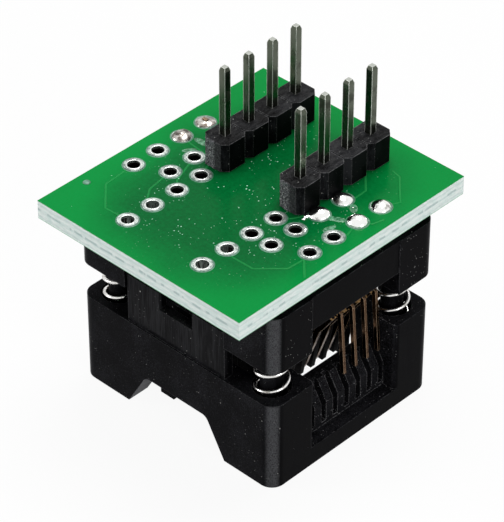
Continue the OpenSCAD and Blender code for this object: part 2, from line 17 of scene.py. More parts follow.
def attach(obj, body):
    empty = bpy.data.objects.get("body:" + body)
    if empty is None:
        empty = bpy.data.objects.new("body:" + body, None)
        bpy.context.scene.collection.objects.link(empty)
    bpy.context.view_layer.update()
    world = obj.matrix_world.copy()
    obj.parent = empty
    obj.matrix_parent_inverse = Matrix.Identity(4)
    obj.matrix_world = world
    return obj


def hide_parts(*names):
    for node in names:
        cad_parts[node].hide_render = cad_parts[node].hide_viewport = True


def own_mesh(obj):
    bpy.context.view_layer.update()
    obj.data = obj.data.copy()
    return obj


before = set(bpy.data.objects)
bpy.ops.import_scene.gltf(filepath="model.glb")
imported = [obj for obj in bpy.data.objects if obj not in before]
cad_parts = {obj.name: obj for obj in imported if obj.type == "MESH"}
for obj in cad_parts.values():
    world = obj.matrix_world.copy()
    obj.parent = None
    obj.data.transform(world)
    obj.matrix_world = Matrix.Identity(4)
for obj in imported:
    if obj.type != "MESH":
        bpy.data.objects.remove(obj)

LOG = logging.getLogger("adapter")
MM = 0.001
PHOTO_SIZE = (504, 522)
# In millimetres: the board's upper face and thickness, and the middle of the socket along Y
BOARD_TOP = 18.4
BOARD_THICK = 1.6
SOCKET_Y = 0.45
Point = tuple[float, float, float]
Colour = tuple[float, float, float]


class Body(Enum):
    """The two rigid bodies of the adapter."""

    ADAPTER = "adapter"
    COVER = "cover"


class Slot(Enum):
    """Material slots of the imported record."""

    BOARD = "board"
    TIN = "tin"
    HEADER = "header_black"
    SPRING = "spring_steel"


# Shader maths


class Value:
    """A shader socket that takes part in Python arithmetic."""

    def __init__(self, graph: "Graph", socket: bpy.types.NodeSocket) -> None:
        """Wraps a socket.

        Args:
            graph: The graph that the socket belongs to.
            socket: The output socket.
        """
        self.graph = graph
        self.socket = socket

    def __add__(self, other: "Value | float") -> "Value":
        """Sum."""
        return self.graph.math("ADD", self, other)

    def __radd__(self, other: float) -> "Value":
        """Sum, reflected."""
        return self.graph.math("ADD", other, self)

    def __sub__(self, other: "Value | float") -> "Value":
        """Difference."""
        return self.graph.math("SUBTRACT", self, other)

    def __rsub__(self, other: float) -> "Value":
        """Difference, reflected."""
        return self.graph.math("SUBTRACT", other, self)

    def __mul__(self, other: "Value | float") -> "Value":
        """Product."""
        return self.graph.math("MULTIPLY", self, other)

    def __truediv__(self, other: "Value | float") -> "Value":
        """Quotient."""
        return self.graph.math("DIVIDE", self, other)

    def __lt__(self, other: "Value | float") -> "Value":
        """One where this is less than the other, else zero."""
        return self.graph.math("LESS_THAN", self, other)

    def __gt__(self, other: "Value | float") -> "Value":
        """One where this is greater than the other, else zero."""
        return self.graph.math("GREATER_THAN", self, other)

    def __abs__(self) -> "Value":
        """Size without sign."""
        return self.graph.math("ABSOLUTE", self)


class Graph:
    """The node graph of one material, or of the world."""

    def __init__(self, owner: "str | bpy.types.World") -> None:
        """Starts an empty graph.

        Args:
            owner: The name of a material to make, or the world.
        """
        self.owner = bpy.data.materials.new(owner) if isinstance(owner, str) else owner
        self.owner.use_nodes = True
        self.tree = self.owner.node_tree
        self.tree.nodes.clear()

    def node(
        self, kind: str, settings: dict[str, Any] | None = None, inputs: dict[Any, Any] | None = None
    ) -> bpy.types.Node:
        """Adds a node.

        Args:
            kind: The node's type.
            settings: Its properties.
            inputs: Values or links by socket name or number.

        Returns:
            The new node.
        """
        made = self.tree.nodes.new(kind)
        for key, value in (settings or {}).items():
            setattr(made, key, value)
        for key, value in (inputs or {}).items():
            socket = made.inputs[key]
            if isinstance(value, Value):
                self.tree.links.new(value.socket, socket)
            elif isinstance(value, tuple) and len(value) == 3 and socket.type == "RGBA":
                socket.default_value = (*value, 1.0)
            else:
                socket.default_value = value
        return made

    def out(self, node: bpy.types.Node, name: Any = 0) -> Value:
        """Wraps a node's output."""
        return Value(self, node.outputs[name])

    def math(self, operation: str, *terms: "Value | float") -> Value:
        """Adds a Math node over its terms."""
        return self.out(self.node("ShaderNodeMath", {"operation": operation}, dict(enumerate(terms))))

    def background_rays(self) -> Value:
        """One for the rays that see the background as plain white, else zero."""
        paths = self.node("ShaderNodeLightPath")
        seen = self.most(self.out(paths, "Is Camera Ray"), self.out(paths, "Is Glossy Ray"))
        return self.most(seen, self.out(paths, "Is Transmission Ray"))

    def place(self) -> Value:
        """The point on the piece, in metres."""
        return self.out(self.node("ShaderNodeTexCoord"), "Object")

    def axes(self, at: Value) -> tuple[Value, Value, Value]:
        """The three parts of a vector."""
        parts = self.node("ShaderNodeSeparateXYZ", inputs={0: at})
        return self.out(parts, 0), self.out(parts, 1), self.out(parts, 2)

    def facing(self) -> tuple[Value, Value, Value]:
        """The three parts of the face's normal."""
        return self.axes(self.out(self.node("ShaderNodeNewGeometry"), "Normal"))

    def most(self, first: Value, second: Value) -> Value:
        """The larger of two values."""
        return self.math("MAXIMUM", first, second)

    def stretched(self, at: Value, scale: Point) -> Value:
        """A vector multiplied by another, part by part."""
        return self.out(self.node("ShaderNodeVectorMath", {"operation": "MULTIPLY"}, {0: at, 1: scale}))

    def noise(self, at: Value, per_mm: float, detail: float = 3.0, rough: float = 0.55) -> Value:
        """Noise with a given number of grains a millimetre, about 0.5 on average."""
        inputs = {"Vector": at, "Scale": per_mm / MM, "Detail": detail, "Roughness": rough}
        return self.out(self.node("ShaderNodeTexNoise", inputs=inputs))

    def specks(self, at: Value, per_mm: float, share: float, radius: float) -> Value:
        """Scattered round specks.

        Args:
            at: The point on the piece.
            per_mm: Cells a millimetre; a cell holds one speck or none.
            share: Share of the cells that hold a speck.
            radius: Largest radius, in cells.

        Returns:
            One inside a speck, else zero.
        """
        cells = self.node("ShaderNodeTexVoronoi", inputs={"Vector": at, "Scale": per_mm / MM})
        chance = self.axes(self.out(cells, "Color"))[0]
        size = (share - chance) * (radius / share)
        return self.out(cells, "Distance") < size

    def step(self, value: Value, low: float, high: float) -> Value:
        """A smooth step from 0 at low to 1 at high."""
        inputs = {"Value": value, "From Min": low, "From Max": high}
        return self.out(self.node("ShaderNodeMapRange", {"interpolation_type": "SMOOTHSTEP"}, inputs))

    def mix(self, share: "Value | float", first: "Value | Colour", second: "Value | Colour") -> Value:
        """A blend of two colours."""
        return self.out(self.node("ShaderNodeMix", {"data_type": "RGBA"}, {0: share, 6: first, 7: second}), 2)

    def bump(self, height: Value, depth_mm: float, strength: float = 1.0, under: Value | None = None) -> Value:
        """A bumped normal."""
        inputs: dict[Any, Any] = {"Height": height, "Distance": depth_mm * MM, "Strength": strength}
        if under is not None:
            inputs["Normal"] = under
        return self.out(self.node("ShaderNodeBump", inputs=inputs))

    def soft_edge(self, radius_mm: float, samples: int = 4) -> Value:
        """A normal that rounds the edges off by a radius."""
        return self.out(self.node("ShaderNodeBevel", {"samples": samples}, {"Radius": radius_mm * MM}))

    def edges(self, radius_mm: float, low: float = 0.02, high: float = 0.14) -> Value:
        """One on the sharp edges of the piece, fading out within a radius."""
        flat = self.out(self.node("ShaderNodeNewGeometry"), "Normal")
        bent = self.soft_edge(radius_mm, 8)
        met = self.out(self.node("ShaderNodeVectorMath", {"operation": "DOT_PRODUCT"}, {0: flat, 1: bent}), "Value")
        return self.step(1.0 - met, low, high)

    def finish(self, **inputs: Any) -> bpy.types.Material:
        """Closes the graph with one surface shader.

        Args:
            **inputs: Values or links by socket name, with underscores for spaces.

        Returns:
            The finished material.
        """
        named = {key.replace("_", " "): value for key, value in inputs.items()}
        shader = self.node("ShaderNodeBsdfPrincipled", inputs=named)
        self.node("ShaderNodeOutputMaterial", inputs={0: self.out(shader)})
        return self.owner


# Finishes


@dataclass(frozen=True)
class MouldedPlastic:
    """Black moulded plastic with a fine grain, worn edges, dull patches and white dust, with painted light and shade.

    Lengths are in millimetres. Faces turned across X get a painted shade and faces turned down a painted light. The
    worn edges also carry a painted highlight, and a painted highlight runs down the rounded corners. Grooves, the
    painted corner highlight and the worn comb are left out where their first limit is zero.
    """

    name: str
    deep: Colour = (0.0024, 0.0024, 0.003)
    worn: Colour = (0.0082, 0.0082, 0.0096)
    # Pale tone of worn edges, also used as a painted highlight on the edges and down the rounded corners.
    rubbed_and_highlight: Colour = (0.085, 0.086, 0.092)
    pepper: Colour = (0.034, 0.034, 0.04)
    # Painted shade: a darker tone given to faces turned across X.
    across: Colour = (0.0006, 0.0006, 0.0008)
    # Painted light: a paler tone given to faces turned down.
    painted_light_underside: Colour = (0.1, 0.1, 0.11)
    groove: Colour = (0.006, 0.006, 0.0068)
    ridge: Colour = (0.019, 0.0192, 0.021)
    comb_worn: Colour = (0.03, 0.03, 0.034)
    comb_chip: Colour = (0.32, 0.32, 0.33)
    dust: Colour = (0.62, 0.62, 0.6)
    dust_share: float = 0.25
    dusty_top: float = 0.0
    roughness: float = 0.45
    specular: float = 0.018
    grain_mm: float = 0.09
    edge_mm: float = 0.09
    edge_wear_and_highlight: float = 0.75
    # Where the painted highlight down the rounded corners begins, as the sum of |x| and the distance from the socket's
    # middle.
    corner_highlight_from: float = 0.0
    corner_highlight_fade: float = 0.25
    grooves_from_z: float = 0.0
    grooves_beyond_y: float = 0.0
    grooves_within_x: float = 5.06
    comb_below_z: float = 0.0
    comb_above_z: float = 1.6
    comb_within_y: float = 6.0
    comb_x: tuple[float, float] = (6.0, 9.9)

    def comb_mask(self, g: Graph, at: Value, from_middle: Value) -> Value:
        """One on the ribs of the comb under the levers, else zero."""
        x, _, z = g.axes(at)
        inner, outer = self.comb_x
        ribs = (z < self.comb_below_z * MM) * (z > self.comb_above_z * MM)
        return ribs * (from_middle < self.comb_within_y * MM) * (abs(x) > inner * MM) * (abs(x) < outer * MM)

    def specks(self, g: Graph, at: Value) -> Value:
        """White dust: coarse and fine specks and a little lint."""
        coarse = g.specks(at, 1.9, self.dust_share, 0.1)
        fine = g.specks(at, 5.2, self.dust_share * 0.55, 0.16)
        lint = g.specks(g.stretched(at, (1.0, 0.25, 1.0)), 1.3, self.dust_share * 0.4, 0.05)
        return g.most(g.most(coarse, fine), lint)

    def build(self) -> bpy.types.Material:
        """Makes the material."""
        g = Graph(self.name)
        at = g.place()
        x, y, z = g.axes(at)
        from_middle = abs(y - SOCKET_Y * MM)
        facing_x, _, facing_z = g.facing()
        grain = g.noise(at, 1.0 / self.grain_mm, 4.0)
        pepper = g.noise(at, 1.0 / self.grain_mm, 2.0, 0.7)
        patch = g.noise(at, 0.32, 4.0, 0.6)
        scuff = g.noise(g.stretched(at, (1.0, 0.35, 0.15)), 3.2, 5.0, 0.7)
        dull = g.step(patch + (scuff - 0.5) * 0.7, 0.42, 0.75)
        colour = g.mix(dull, self.deep, self.worn)
        colour = g.mix(g.step(pepper + (patch - 0.5) * 0.3, 0.5, 0.7) * 0.5, colour, self.pepper)
        # Painted shade on faces turned across X.
        colour = g.mix(g.step(abs(facing_x), 0.75, 0.95) * 0.78, colour, self.across)
        # Painted light on faces turned down.
        colour = g.mix(g.step(0.0 - facing_z, 0.2, 0.5) * 0.9, colour, self.painted_light_underside)
        if self.dusty_top > 0.0:
            powder = g.step(facing_z, 0.8, 0.95) * g.step(pepper * 0.5 + scuff * 0.5, 0.4, 0.6)
            colour = g.mix(powder * self.dusty_top, colour, self.dust)
        height = grain
        if self.grooves_from_z > 0.0:
            panel = (z > self.grooves_from_z * MM) * (from_middle > self.grooves_beyond_y * MM)
            panel = panel * (abs(x) < self.grooves_within_x * MM)
            broad = g.noise(g.stretched(at, (1.0, 0.02, 0.03)), 1.5, 3.0, 0.6)
            streak = g.noise(g.stretched(at, (1.0, 0.02, 0.07)), 7.0, 3.0, 0.65)
            height = grain + panel * streak * 1.6
            tone = g.mix(g.step(streak * 0.55 + broad * 0.45, 0.4, 0.62), self.groove, self.ridge)
            colour = g.mix(panel, colour, tone)
        # Painted highlight down the rounded corners.
        if self.corner_highlight_from > 0.0:
            painted_highlight_mask = g.step(abs(x) + from_middle, self.corner_highlight_from * MM, (self.corner_highlight_from + self.corner_highlight_fade) * MM)
            colour = g.mix(painted_highlight_mask * g.step(grain, 0.2, 0.62) * 0.85, colour, self.rubbed_and_highlight)
        # Worn edges, paler in patches; the same mix also paints a highlight along the edges.
        worn = g.edges(self.edge_mm) * g.step(scuff * 0.4 + pepper * 0.6, 0.4, 0.62)
        colour = g.mix(worn * self.edge_wear_and_highlight, colour, self.rubbed_and_highlight)
        if self.comb_below_z > 0.0:
            comb = self.comb_mask(g, at, from_middle)
            chipped = g.edges(0.12) * g.step(pepper * 0.6 + scuff * 0.4, 0.46, 0.58) * 0.7
            chipped = g.most(chipped, g.specks(at, 4.6, 0.5, 0.2))
            colour = g.mix(comb * g.step(pepper, 0.42, 0.6) * 0.5, colour, self.comb_worn)
            colour = g.mix(comb * chipped * 0.8, colour, self.comb_chip)
        film = g.specks(at, 4.2, 0.45, 0.17) * g.step(patch, 0.3, 0.55)
        colour = g.mix(film * 0.16, colour, self.dust)
        specks = self.specks(g, at) * g.step(patch, 0.36, 0.6)
        colour = g.mix(specks * 0.8, colour, self.dust)
        normal = g.bump(height, 0.012, 0.5, g.soft_edge(self.edge_mm))
        rough = self.roughness + (grain - 0.5) * 0.25 + dull * 0.12 + specks * 0.3
        return g.finish(Base_Color=colour, Roughness=rough, Normal=normal, Specular_IOR_Level=self.specular)


@dataclass(frozen=True)
class BrokenPlastic:
    """Snapped end of a header strip: pale torn plastic on its left side, smoother and dark on its right."""

    name: str
    middle: float
    dark: Colour = (0.012, 0.0125, 0.014)
    pale: Colour = (0.17, 0.17, 0.19)
    chip: Colour = (0.5, 0.5, 0.51)

    def build(self) -> bpy.types.Material:
        """Makes the material."""
        g = Graph(self.name)
        at = g.place()
        x, _, _ = g.axes(at)
        tear = g.noise(g.stretched(at, (1.0, 1.0, 0.6)), 5.0, 6.0, 0.7)
        fine = g.noise(at, 18.0, 3.0)
        left = 1.0 - g.step(x + (tear - 0.5) * 0.7 * MM, (self.middle - 0.1) * MM, (self.middle + 0.35) * MM)
        pale = g.step(tear + (fine - 0.5) * 0.8, 0.36, 0.66) * (left * 0.85 + 0.14)
        chips = g.step(g.noise(at, 9.0, 3.0, 0.7), 0.55, 0.62) * (left * 0.8 + 0.12)
        colour = g.mix(chips, g.mix(pale, self.dark, self.pale), self.chip)
        normal = g.bump(tear + fine * 0.5, 0.06, 0.8)
        return g.finish(Base_Color=colour, Roughness=0.75 - pale * 0.1, Normal=normal, Specular_IOR_Level=0.15)


@dataclass(frozen=True)
class SolderMask:
    """Green lacquer over the laminate, deeper in the middle, with pale specks."""

    name: str = "solder_mask"
    edge: Colour = (0.0003, 0.25, 0.042)
    middle: Colour = (0.0006, 0.098, 0.021)
    lift: float = 0.0
    ridge: Colour = (0.003, 0.32, 0.07)
    speck: Colour = (0.55, 0.95, 0.75)
    deepest: tuple[float, float] = (0.4, -0.6)
    reach: tuple[float, float] = (10.3, 12.4)
    weave_mm: float = 0.62

    def build(self) -> bpy.types.Material:
        """Makes the material."""
        g = Graph(self.name)
        at = g.place()
        x, y, _ = g.axes(at)
        across = abs(x - self.deepest[0] * MM) / (self.reach[0] * MM)
        along = abs(y - self.deepest[1] * MM) / (self.reach[1] * MM)
        out = g.math("POWER", g.math("POWER", across, 3.0) + g.math("POWER", along, 3.0), 0.33)
        cloud = g.noise(at, 0.16, 3.0)
        share = g.step(out + (cloud - 0.5) * 0.3, 0.55, 1.06)
        yarn = self.weave_mm * MM
        weave = g.math("PINGPONG", x / yarn, 0.5) + g.math("PINGPONG", y / yarn, 0.5)
        fleck = g.noise(at, 4.5, 4.0, 0.65)
        colour = g.mix(share, self.middle, self.edge)
        colour = g.mix((fleck - 0.35) * 0.5 + weave * 0.05 + self.lift, colour, self.ridge)
        near = 1.0 - g.step(out, 0.35, 0.95)
        coarse = g.specks(at, 1.5, 0.2, 0.09) * g.step(cloud, 0.4, 0.62)
        fine = g.specks(at, 4.2, 0.6, 0.24) * g.step(g.noise(at, 0.45, 2.0), 0.46, 0.54)
        dirt = g.most(coarse, fine * near)
        colour = g.mix(dirt * 0.85, colour, self.speck)
        normal = g.bump(g.noise(at, 1.1, 2.0) + weave * 0.15, 0.012, 0.35, g.soft_edge(0.05))
        rough = 0.2 + (fleck - 0.5) * 0.12 + dirt * 0.4
        return g.finish(Base_Color=colour, Roughness=rough, Normal=normal, Specular_IOR_Level=0.05)


@dataclass(frozen=True)
class Laminate:
    """Sawn edge of the glass-fibre board: pale plies with darker yarn ends between two green skins."""

    name: str = "glass_laminate"
    resin: Colour = (0.7, 0.84, 0.8)
    glass: Colour = (0.86, 0.93, 0.9)
    seam: Colour = (0.52, 0.66, 0.63)
    core: Colour = (0.3, 0.44, 0.43)
    frayed: Colour = (0.93, 0.96, 0.93)
    skin: Colour = (0.03, 0.4, 0.13)

    def build(self) -> bpy.types.Material:
        """Makes the material."""
        g = Graph(self.name)
        at = g.place()
        _, _, z = g.axes(at)
        height = (z - (BOARD_TOP - BOARD_THICK) * MM) / (BOARD_THICK * MM)
        wander = g.noise(at, 0.7, 3.0) - 0.5
        ply = g.math("PINGPONG", height * 3.2 + wander * 0.9, 0.5) * 2.0
        yarn = g.noise(g.stretched(at, (1.0, 1.0, 4.0)), 1.6, 5.0, 0.65)
        fibre = g.noise(g.stretched(at, (1.0, 1.0, 7.0)), 6.0, 4.0, 0.7)
        colour = g.mix(g.step(yarn, 0.38, 0.62), self.resin, self.glass)
        colour = g.mix(g.step(ply, 0.35, 0.95) * 0.4, colour, self.seam)
        dashes = g.step(g.noise(g.stretched(at, (1.0, 1.0, 0.2)), 1.2, 2.0), 0.48, 0.56)
        core = 1.0 - g.step(abs(height - 0.5 + wander * 0.16), 0.02, 0.1)
        colour = g.mix(core * dashes * 0.6, colour, self.core)
        colour = g.mix(g.step(fibre, 0.55, 0.75) * 0.4, colour, self.frayed)
        skin = g.step(abs(height - 0.5), 0.455, 0.49)
        colour = g.mix(skin * 0.8, colour, self.skin)
        normal = g.bump(yarn + fibre, 0.05, 0.8)
        return g.finish(Base_Color=colour, Roughness=0.62 - g.step(fibre, 0.5, 0.8) * 0.15, Normal=normal)


class Wear(Enum):
    """How the marks of a metal run."""

    NONE = (1.0, 1.0, 1.0)
    ALONG_Z = (1.0, 1.0, 0.08)


@dataclass(frozen=True)
class Metal:
    """A metal with stains, fine marks and an uneven shine.

    Lengths are in millimetres. With a rim share, a painted highlight makes its edges and upward-facing tops paler and
    less metallic. With a warm limit, the bends of the contact arms just inside that distance from the middle carry a
    painted warm glint, warmer, brighter and less metallic.
    """

    name: str
    bright: Colour
    stain: Colour
    roughness: float
    stain_share: float
    stain_per_mm: float
    marks_per_mm: float
    marks: Wear = Wear.NONE
    edge_mm: float = 0.02
    bump_mm: float = 0.003
    # Painted highlight colour for the edges and upward-facing tops.
    rim: Colour = (0.86, 0.88, 0.82)
    rim_highlight_share: float = 0.0
    # Painted warm glint colour for the bends of the contact arms.
    warm: Colour = (0.98, 0.6, 0.26)
    warm_within_x: float = 0.0
    warm_width: float = 1.2
    warm_above_z: float = 9.4

    def build(self) -> bpy.types.Material:
        """Makes the material."""
        g = Graph(self.name)
        at = g.place()
        cloud = g.noise(at, self.stain_per_mm, 4.0, 0.62)
        marks = g.noise(g.stretched(at, self.marks.value), self.marks_per_mm, 3.0, 0.6)
        stained = g.step(cloud + (marks - 0.5) * 0.3, 0.62 - self.stain_share * 0.35, 0.78 - self.stain_share * 0.2)
        colour = g.mix(stained, self.bright, self.stain)
        colour = g.mix((marks - 0.4) * 0.3, colour, self.bright)
        metallic: Value | float = 1.0
        # Painted highlight on the edges and upward-facing tops, made less metallic.
        if self.rim_highlight_share > 0.0:
            rim = g.most(g.edges(self.edge_mm), g.step(g.facing()[2], 0.8, 0.95) * 0.5) * self.rim_highlight_share
            colour = g.mix(rim, colour, self.rim)
            metallic = 1.0 - rim * 0.85
        # Painted warm glint on the bends of the contact arms, made less metallic.
        if self.warm_within_x > 0.0:
            x, _, z = g.axes(at)
            painted_highlight_mask = (abs(x) < self.warm_within_x * MM) * (abs(x) > (self.warm_within_x - self.warm_width) * MM)
            painted_highlight_mask = painted_highlight_mask * (z > self.warm_above_z * MM) * g.step(g.noise(at, 1.9, 2.0), 0.46, 0.54)
            colour = g.mix(painted_highlight_mask, colour, self.warm)
            metallic = metallic * (1.0 - painted_highlight_mask * 0.7)
        normal = g.bump(marks + cloud * 0.4, self.bump_mm, 0.6, g.soft_edge(self.edge_mm))
        rough = self.roughness + stained * 0.22 + (marks - 0.5) * 0.16
        return g.finish(Base_Color=colour, Metallic=metallic, Roughness=rough, Normal=normal)


@dataclass(frozen=True)
class TinnedHole:
    """Mottled grey ring round a hole and its barrel, with painted shade darkening the barrel inside except in the
    tinned front holes.
    """

    name: str = "tinned_hole"
    ring: Colour = (0.5, 0.56, 0.52)
    blotch: Colour = (0.16, 0.2, 0.18)
    painted_shade_inside: Colour = (0.03, 0.022, 0.02)
    from_z: float = 18.3
    fade: float = 0.12
    front_y: float = -5.6

    def build(self) -> bpy.types.Material:
        """Makes the material."""
        g = Graph(self.name)
        at = g.place()
        _, y, z = g.axes(at)
        cloud = g.noise(at, 3.0, 4.0, 0.65)
        streak = g.noise(g.stretched(at, (1.0, 1.0, 0.12)), 6.0, 3.0, 0.6)
        face = g.mix(g.step(cloud, 0.36, 0.62), self.ring, self.blotch)
        # The barrel is given a painted shade inside, except for streaks of tin in the front holes.
        barrel = g.mix((y < self.front_y * MM) * g.step(streak, 0.4, 0.6), self.painted_shade_inside, self.ring)
        colour = g.mix(g.step(z, (self.from_z - self.fade) * MM, self.from_z * MM), barrel, face)
        rough = 0.34 + cloud * 0.15
        return g.finish(Base_Color=colour, Metallic=1.0, Roughness=rough, Normal=g.bump(cloud, 0.02, 0.6))


@dataclass(frozen=True)
class CloudyFilm:
    """Thin film over the lacquer, clear in some places and cloudy in others.

    The shine is its roughness and how much more the clouds have; the relief is its bump in millimetres and strength.
    """

    name: str
    clear: Colour
    cloudy: Colour
    per_mm: float
    noise: tuple[float, float]
    clouds: tuple[float, float]
    shine: tuple[float, float]
    relief: tuple[float, float]

    def build(self) -> bpy.types.Material:
        """Makes the material."""
        g = Graph(self.name)
        cloud = g.noise(g.place(), self.per_mm, *self.noise)
        colour = g.mix(g.step(cloud, *self.clouds), self.clear, self.cloudy)
        rough = self.shine[0] + cloud * self.shine[1]
        return g.finish(Base_Color=colour, Roughness=rough, Normal=g.bump(cloud, *self.relief))


@dataclass(frozen=True)
class StudioWhite:
    """Pale floor that the camera and reflections see as white, with the shadow kept faint."""

    name: str = "studio_white"
    shade: float = 0.82
    glow_share: float = 0.93

    def build(self) -> bpy.types.Material:
        """Makes the material."""
        g = Graph(self.name)
        seen = g.background_rays()
        paper = g.node("ShaderNodeBsdfDiffuse", inputs={"Color": (self.shade, self.shade, self.shade)})
        glow = g.node("ShaderNodeEmission", inputs={"Color": (1.0, 1.0, 1.0), "Strength": 1.0})
        blend = g.node("ShaderNodeMixShader", inputs={0: seen * self.glow_share, 1: g.out(paper), 2: g.out(glow)})
        g.node("ShaderNodeOutputMaterial", inputs={0: g.out(blend)})
        return g.owner


# Modelling helpers


def clear_selection() -> None:
    """Deselects every object and leaves edit mode."""
    if bpy.context.object is not None and bpy.context.object.mode != "OBJECT":
        bpy.ops.object.mode_set(mode="OBJECT")
    bpy.ops.object.select_all(action="DESELECT")


def pick(obj: bpy.types.Object) -> None:
    """Makes one object the only selected and active one."""
    clear_selection()
    obj.select_set(True)
    bpy.context.view_layer.objects.active = obj


def settle(obj: bpy.types.Object) -> None:
    """Moves an object's place, turn and size into its mesh."""
    pick(obj)
    bpy.ops.object.transform_apply(location=True, rotation=True, scale=True)


def joined(parts: Sequence[bpy.types.Object], name: str) -> bpy.types.Object:
    """Joins meshes into one piece at the origin.

    Args:
        parts: The meshes.
        name: Name of the piece.

    Returns:
        The joined piece.
    """
    for part in parts:
        settle(part)
    clear_selection()
    for part in parts:
        part.select_set(True)
    bpy.context.view_layer.objects.active = parts[0]
    if len(parts) > 1:
        bpy.ops.object.join()
    made = bpy.context.view_layer.objects.active
    made.name = made.data.name = name
    return made


def copied(obj: bpy.types.Object, shift: Sequence[float], turn: float = 0.0) -> bpy.types.Object:
    """Copies a mesh object with its own mesh.

    Args:
        obj: The object to copy.
        shift: Move in metres.
        turn: Turn about the vertical through the origin, in radians.

    Returns:
        The copy.
    """
    made = obj.copy()
    made.data = obj.data.copy()
    made.matrix_world = Matrix.Translation(Vector(shift)) @ Matrix.Rotation(turn, 4, "Z") @ obj.matrix_world
    bpy.context.scene.collection.objects.link(made)
    return made


def smooth(obj: bpy.types.Object, degrees: float) -> None:
    """Shades the faces smooth that meet under an angle."""
    pick(obj)
    bpy.ops.object.shade_smooth_by_angle(angle=math.radians(degrees))


def dress(obj: bpy.types.Object, material: bpy.types.Material) -> None:
    """Gives an object one material."""
    obj.data.materials.clear()
    obj.data.materials.append(material)


def outward(obj: bpy.types.Object) -> None:
    """Merges doubled points and turns every face outwards."""
    pick(obj)
    bpy.ops.object.mode_set(mode="EDIT")
    bpy.ops.mesh.select_all(action="SELECT")
    bpy.ops.mesh.remove_doubles(threshold=1e-7)
    bpy.ops.mesh.normals_make_consistent(inside=False)
    bpy.ops.object.mode_set(mode="OBJECT")


def place_piece(obj: bpy.types.Object, body: Body, replaced: Iterable[str] = ()) -> None:
    """Rides a finished piece on its body.

    Args:
        obj: The finished piece.
        body: The body that it moves with.
        replaced: CAD nodes that it stands for.
    """
    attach(obj, body.value)
    names = list(replaced)
    if names:
        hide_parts(*names)
    LOG.info("%s: %d faces on %s", obj.name, len(obj.data.polygons), body.value)


def add_piece(
    parts: Sequence[bpy.types.Object], name: str, degrees: float, material: bpy.types.Material,
    replaced: Iterable[str] = (),
) -> None:
    """Joins parts into one finished piece that rides on the adapter.

    Args:
        parts: The meshes.
        name: Name of the piece.
        degrees: Faces that meet under this angle are shaded smooth.
        material: Its finish.
        replaced: CAD nodes that it stands for.
    """
    made = joined(parts, name)
    smooth(made, degrees)
    dress(made, material)
    place_piece(made, Body.ADAPTER, replaced)


def roughen(obj: bpy.types.Object, offset_mm: float, seed: int, factor: float, repeat: int) -> None:
    """Shakes every point of a mesh a little, then smooths the mesh.

    Args:
        obj: The mesh object.
        offset_mm: Largest shift of a point.
        seed: Seed of the random shifts.
        factor: Strength of the smoothing.
        repeat: How often it is smoothed.
    """
    pick(obj)
    bpy.ops.object.mode_set(mode="EDIT")
    bpy.ops.mesh.select_all(action="SELECT")
    bpy.ops.transform.vertex_random(offset=offset_mm * MM, seed=seed)
    bpy.ops.mesh.vertices_smooth(factor=factor, repeat=repeat)
    bpy.ops.object.mode_set(mode="OBJECT")


def flat_ring(radius: float, thick: float, steps: tuple[int, int], flatness: float) -> bpy.types.Object:
    """Models a flattened ring about the vertical through the origin.

    Args:
        radius: Radius of the ring's middle, in millimetres.
        thick: Radius of its section, in millimetres.
        steps: Number of faces round the ring and round its section.
        flatness: Height of the section as a share of its width.

    Returns:
        The ring.
    """
    bpy.ops.mesh.primitive_torus_add(
        major_radius=radius * MM, minor_radius=thick * MM, major_segments=steps[0], minor_segments=steps[1]
    )
    ring = bpy.context.object
    ring.scale = (1.0, 1.0, flatness)
    settle(ring)
    return ring


def nodes_named(*starts: str) -> list[bpy.types.Object]:
    """CAD nodes whose names start with any of the given words."""
    return [node for name, node in sorted(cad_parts.items()) if name.startswith(starts)]


# Sub-assemblies


